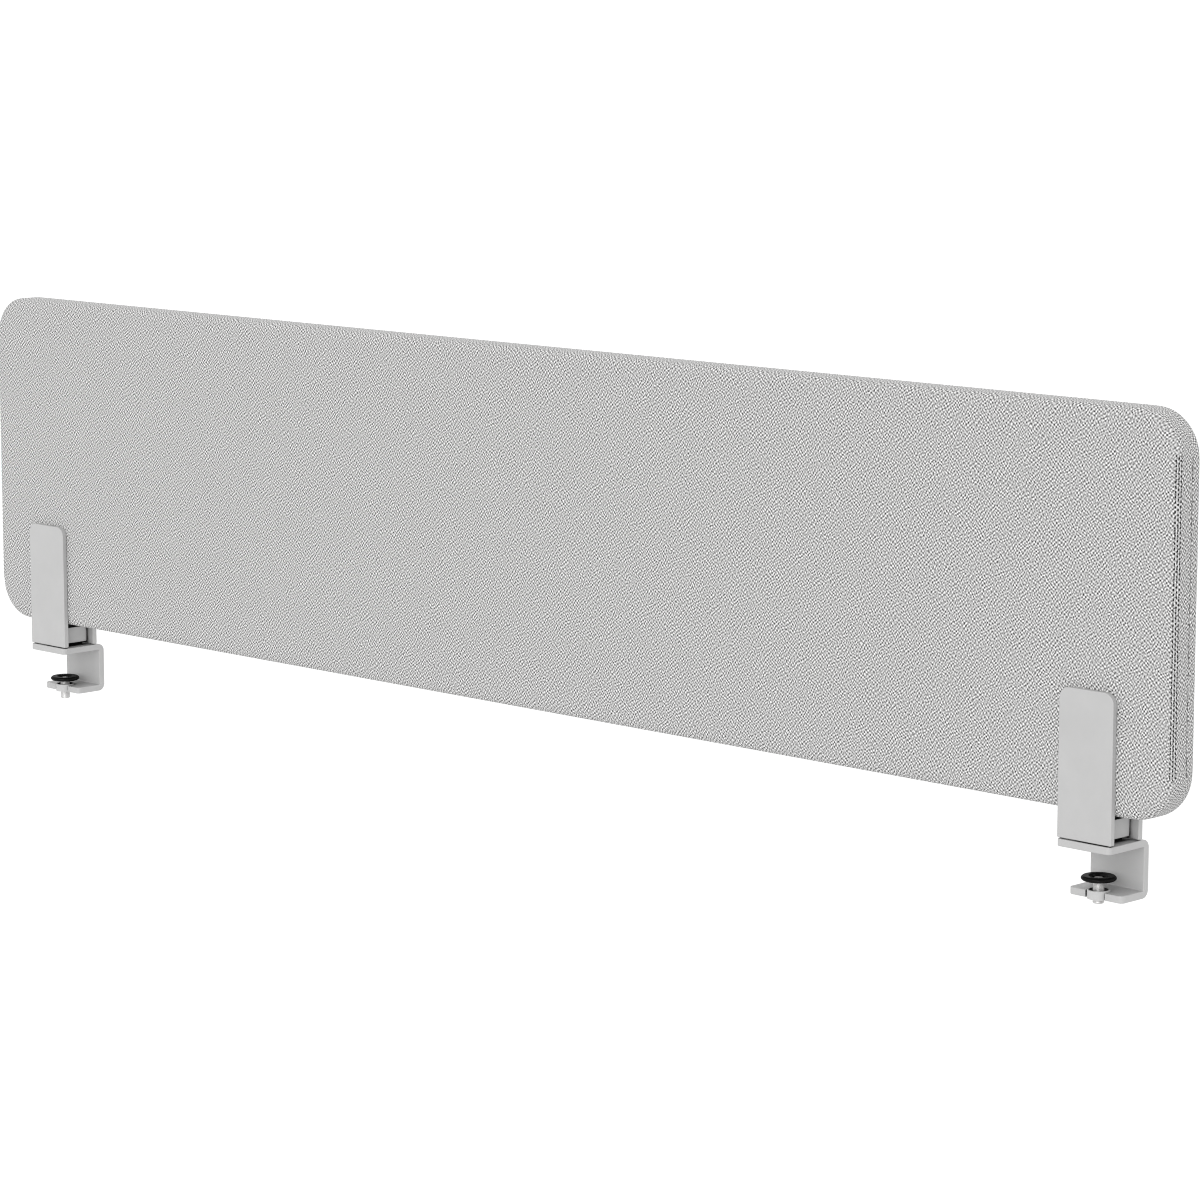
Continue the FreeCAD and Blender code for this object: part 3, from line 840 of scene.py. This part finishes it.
def make_clamp_screw(side):
    low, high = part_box(side + "_clamp_screw")
    centre = ((low.x + high.x) / 2, (low.y + high.y) / 2)
    tip = low.z
    shoulder = tip + SHANK_LENGTH
    rivet_bottom = high.z - RIVET_HEIGHT
    rings = [
        circle_ring(centre, SMALL_EDGE, tip + SOCKET_DEPTH + SOCKET_POINT),
        hexagon_ring(centre, SOCKET_ACROSS, tip + SOCKET_DEPTH),
        hexagon_ring(centre, SOCKET_ACROSS, tip + SMALL_EDGE),
        circle_ring(centre, SOCKET_MOUTH_RADIUS, tip),
        circle_ring(centre, SCREW_RADIUS - SCREW_CHAMFER, tip),
    ]
    rings += thread_rings(centre, tip + SCREW_CHAMFER, shoulder - SHOULDER_CHAMFER)
    upper = [
        (SCREW_RADIUS - SHOULDER_CHAMFER, shoulder),
        (NECK_RADIUS, shoulder),
        (NECK_RADIUS, rivet_bottom),
        (RIVET_RADIUS, rivet_bottom),
        (RIVET_RADIUS, rivet_bottom + RIVET_HEIGHT / 2),
        (RIVET_FACE_RADIUS, high.z),
        (SMALL_EDGE, high.z),
    ]
    rings += [circle_ring(centre, radius, z) for radius, z in softened(upper, SMALL_EDGE)]
    name = side + "_threaded_stem"
    screw = ring_stack(name, rings, SCREW_STEEL, side + "_screw", closed=False)
    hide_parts(side + "_clamp_screw")


def make_clamp_pad(side):
    low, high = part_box(side + "_clamp_pad")
    centre = ((low.x + high.x) / 2, (low.y + high.y) / 2)
    radius = (high.x - low.x) / 2
    bore = NECK_RADIUS + NECK_GAP
    floor = high.z - PAD_DISH_DEPTH
    profile = [
        (bore, (low.z + floor) / 2),
        (bore, low.z),
        (radius - PAD_BEVEL, low.z),
        (radius, low.z + PAD_BEVEL_HEIGHT),
        (radius, high.z - PAD_BEVEL_HEIGHT),
        (radius - PAD_BEVEL, high.z),
        (PAD_DISH_RADIUS, high.z),
        (PAD_DISH_FLOOR_RADIUS, floor),
        (bore, floor),
        (bore, (low.z + floor) / 2),
    ]
    turned = softened(profile, PAD_SOFT_EDGE)[:-1]
    pad = lathe(side + "_swivel_pad", turned[::-1], centre, PAD_PLASTIC, side + "_pad")
    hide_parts(side + "_clamp_pad")


# Rubber pads, which bulge a little under load; their black also stands in for the shade in the
# gaps above and below the spacer block


def make_rubber_pad(side, node, bulge):
    """A pressed block of rubber: rounded corners and sides that swell between its faces."""
    low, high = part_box(side + node)
    centre = (low + high) / 2
    half_x = (high.x - low.x) / 2
    half_y = (high.y - low.y) / 2
    half_z = (high.z - low.z) / 2
    rings = []
    for level, out in RUBBER_PROFILE + [(-level, out) for level, out in reversed(RUBBER_PROFILE)]:
        ring = []
        for quarter in range(4):
            sx, sy = ((1, 1), (-1, 1), (-1, -1), (1, -1))[quarter]
            for step in range(RUBBER_CORNER_STEPS + 1):
                angle = math.pi / 2 * (quarter + step / RUBBER_CORNER_STEPS)
                reach = RUBBER_CORNER + bulge * out
                x = centre.x + sx * (half_x - RUBBER_CORNER) + reach * math.cos(angle)
                y = centre.y + sy * (half_y - RUBBER_CORNER) + reach * math.sin(angle)
                ring.append((x, y, centre.z + half_z * level))
        rings.append(np.array(ring))
    pad = ring_stack(side + node + "_rubber", rings, RUBBER_AND_GAP_SHADE, BODY, closed=False)
    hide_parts(side + node)


# Materials, and the CAD parts that are seen as they are


def finish_node(node, material):
    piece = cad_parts[node]
    for place in range(max(1, len(piece.material_slots))):
        if place < len(piece.material_slots):
            piece.material_slots[place].material = material
        else:
            piece.data.materials.append(material)


THREAD = thread_material()
FRAME_PAINT = painted_metal("powder_coat_grey", 0.37, 0.002)
# The block gets the frame's coat a little darker: painted shade, where it sits under the panel
# between the plates
BLOCK_PAINT_SHADED = painted_metal("powder_coat_block_shaded", 0.36, 0.002)
SCREW_STEEL = turned_steel("bright_zinc_steel", 0.58, 0.42)
FASTENER_STEEL = turned_steel("dull_zinc_steel", 0.55, 0.38)
BUSH_PAINT = painted_metal("powder_coat_bush", 0.40, 0.002)
PAD_PLASTIC = black_polymer("gloss_black_plastic", 0.002, 0.3, 2500.0, 0.0, coat=0.16)
# Black nylon, whose black also stands in for the shade in the bore round the stem
NYLON_AND_BORE_SHADE = black_polymer("black_nylon", 0.008, 0.45, 2200.0, 0.3)
# Black rubber, whose black also stands in for shade in the gaps round the spacer block
RUBBER_AND_GAP_SHADE = black_polymer("black_rubber", 0.004, 0.75, 1500.0, 0.1)
BOARD = board_material()
TAPE = tape_material()

make_cover()
finish_node("core_board", BOARD)
for side in SIDES:
    make_stitching(side)
    make_clamp_screw(side)
    make_clamp_pad(side)
    make_rubber_pad(side, "_rest_pad", REST_PAD_BULGE)
    make_rubber_pad(side, "_base_spacer", BASE_SPACER_BULGE)
    finish_node(side + "_closing_tape", TAPE)
    finish_node(side + "_front_plate", FRAME_PAINT)
    finish_node(side + "_back_plate", FRAME_PAINT)
    finish_node(side + "_clamp_frame", FRAME_PAINT)
    finish_node(side + "_spacer_block", BLOCK_PAINT_SHADED)
    finish_node(side + "_plate_screws", FASTENER_STEEL)
    finish_node(side + "_flange_screws", FASTENER_STEEL)
    finish_node(side + "_threaded_bush", BUSH_PAINT)
    finish_node(side + "_locking_ring", NYLON_AND_BORE_SHADE)


# Camera, light and floor


def aim(yaw, down):
    """The turn of a camera or lamp that looks along a heading, tilted down."""
    level = math.cos(down)
    forward = Vector((-math.sin(yaw) * level, math.cos(yaw) * level, -math.sin(down)))
    return forward.to_track_quat("-Z", "Y").to_euler()


def make_camera():
    data = bpy.data.cameras.new("camera")
    data.lens = CAMERA_LENS
    data.sensor_width = CAMERA_SENSOR
    camera = bpy.data.objects.new("camera", data)
    bpy.context.scene.collection.objects.link(camera)
    camera.location = CAMERA_PLACE
    camera.rotation_euler = aim(CAMERA_YAW, CAMERA_DOWN)
    bpy.context.scene.camera = camera


def make_world():
    """An even white studio all round."""
    world = bpy.data.worlds.new("studio")
    world.use_nodes = True
    background = world.node_tree.nodes["Background"]
    background.inputs["Color"].default_value = (1, 1, 1, 1)
    background.inputs["Strength"].default_value = STUDIO_LIGHT
    bpy.context.scene.world = world


def make_keys():
    """Front lights, low and on the camera's side: a broad one and a smaller, brighter one."""
    for name, (energy, spread, yaw, down) in KEY_LIGHTS.items():
        data = bpy.data.lights.new(name, "SUN")
        data.energy = energy
        data.angle = math.radians(spread)
        lamp = bpy.data.objects.new(name, data)
        bpy.context.scene.collection.objects.link(lamp)
        lamp.rotation_euler = aim(math.radians(yaw), math.radians(down))


def make_floor():
    g = Graph("pale_floor")
    speckle = g.noise(g.object_place(), 30.0, 3.0, 0.5)
    colour = g.ramp(speckle, [(0.3, grey(FLOOR_LEVEL)), (0.7, grey(FLOOR_LEVEL * 1.04))])
    g.set(g.shader, {"Base Color": colour, "Roughness": 0.9})
    g.set(g.shader, {"Emission Color": (1, 1, 1, 1), "Emission Strength": FLOOR_GLOW})
    half = FLOOR_SIZE / 2
    z = CAD_BOX[0].z - FLOOR_GAP
    mesh = bpy.data.meshes.new("floor")
    corners = [(-half, -half, z), (half, -half, z), (half, half, z), (-half, half, z)]
    mesh.from_pydata(corners, [], [(0, 1, 2, 3)])
    mesh.materials.append(g.material)
    floor = bpy.data.objects.new("floor", mesh)
    bpy.context.scene.collection.objects.link(floor)


make_camera()
make_world()
make_keys()
make_floor()
bpy.context.scene.view_settings.view_transform = "Standard"
bpy.context.scene.cycles.denoising_prefilter = "NONE"
bpy.context.scene.cycles.filter_width = 1.1
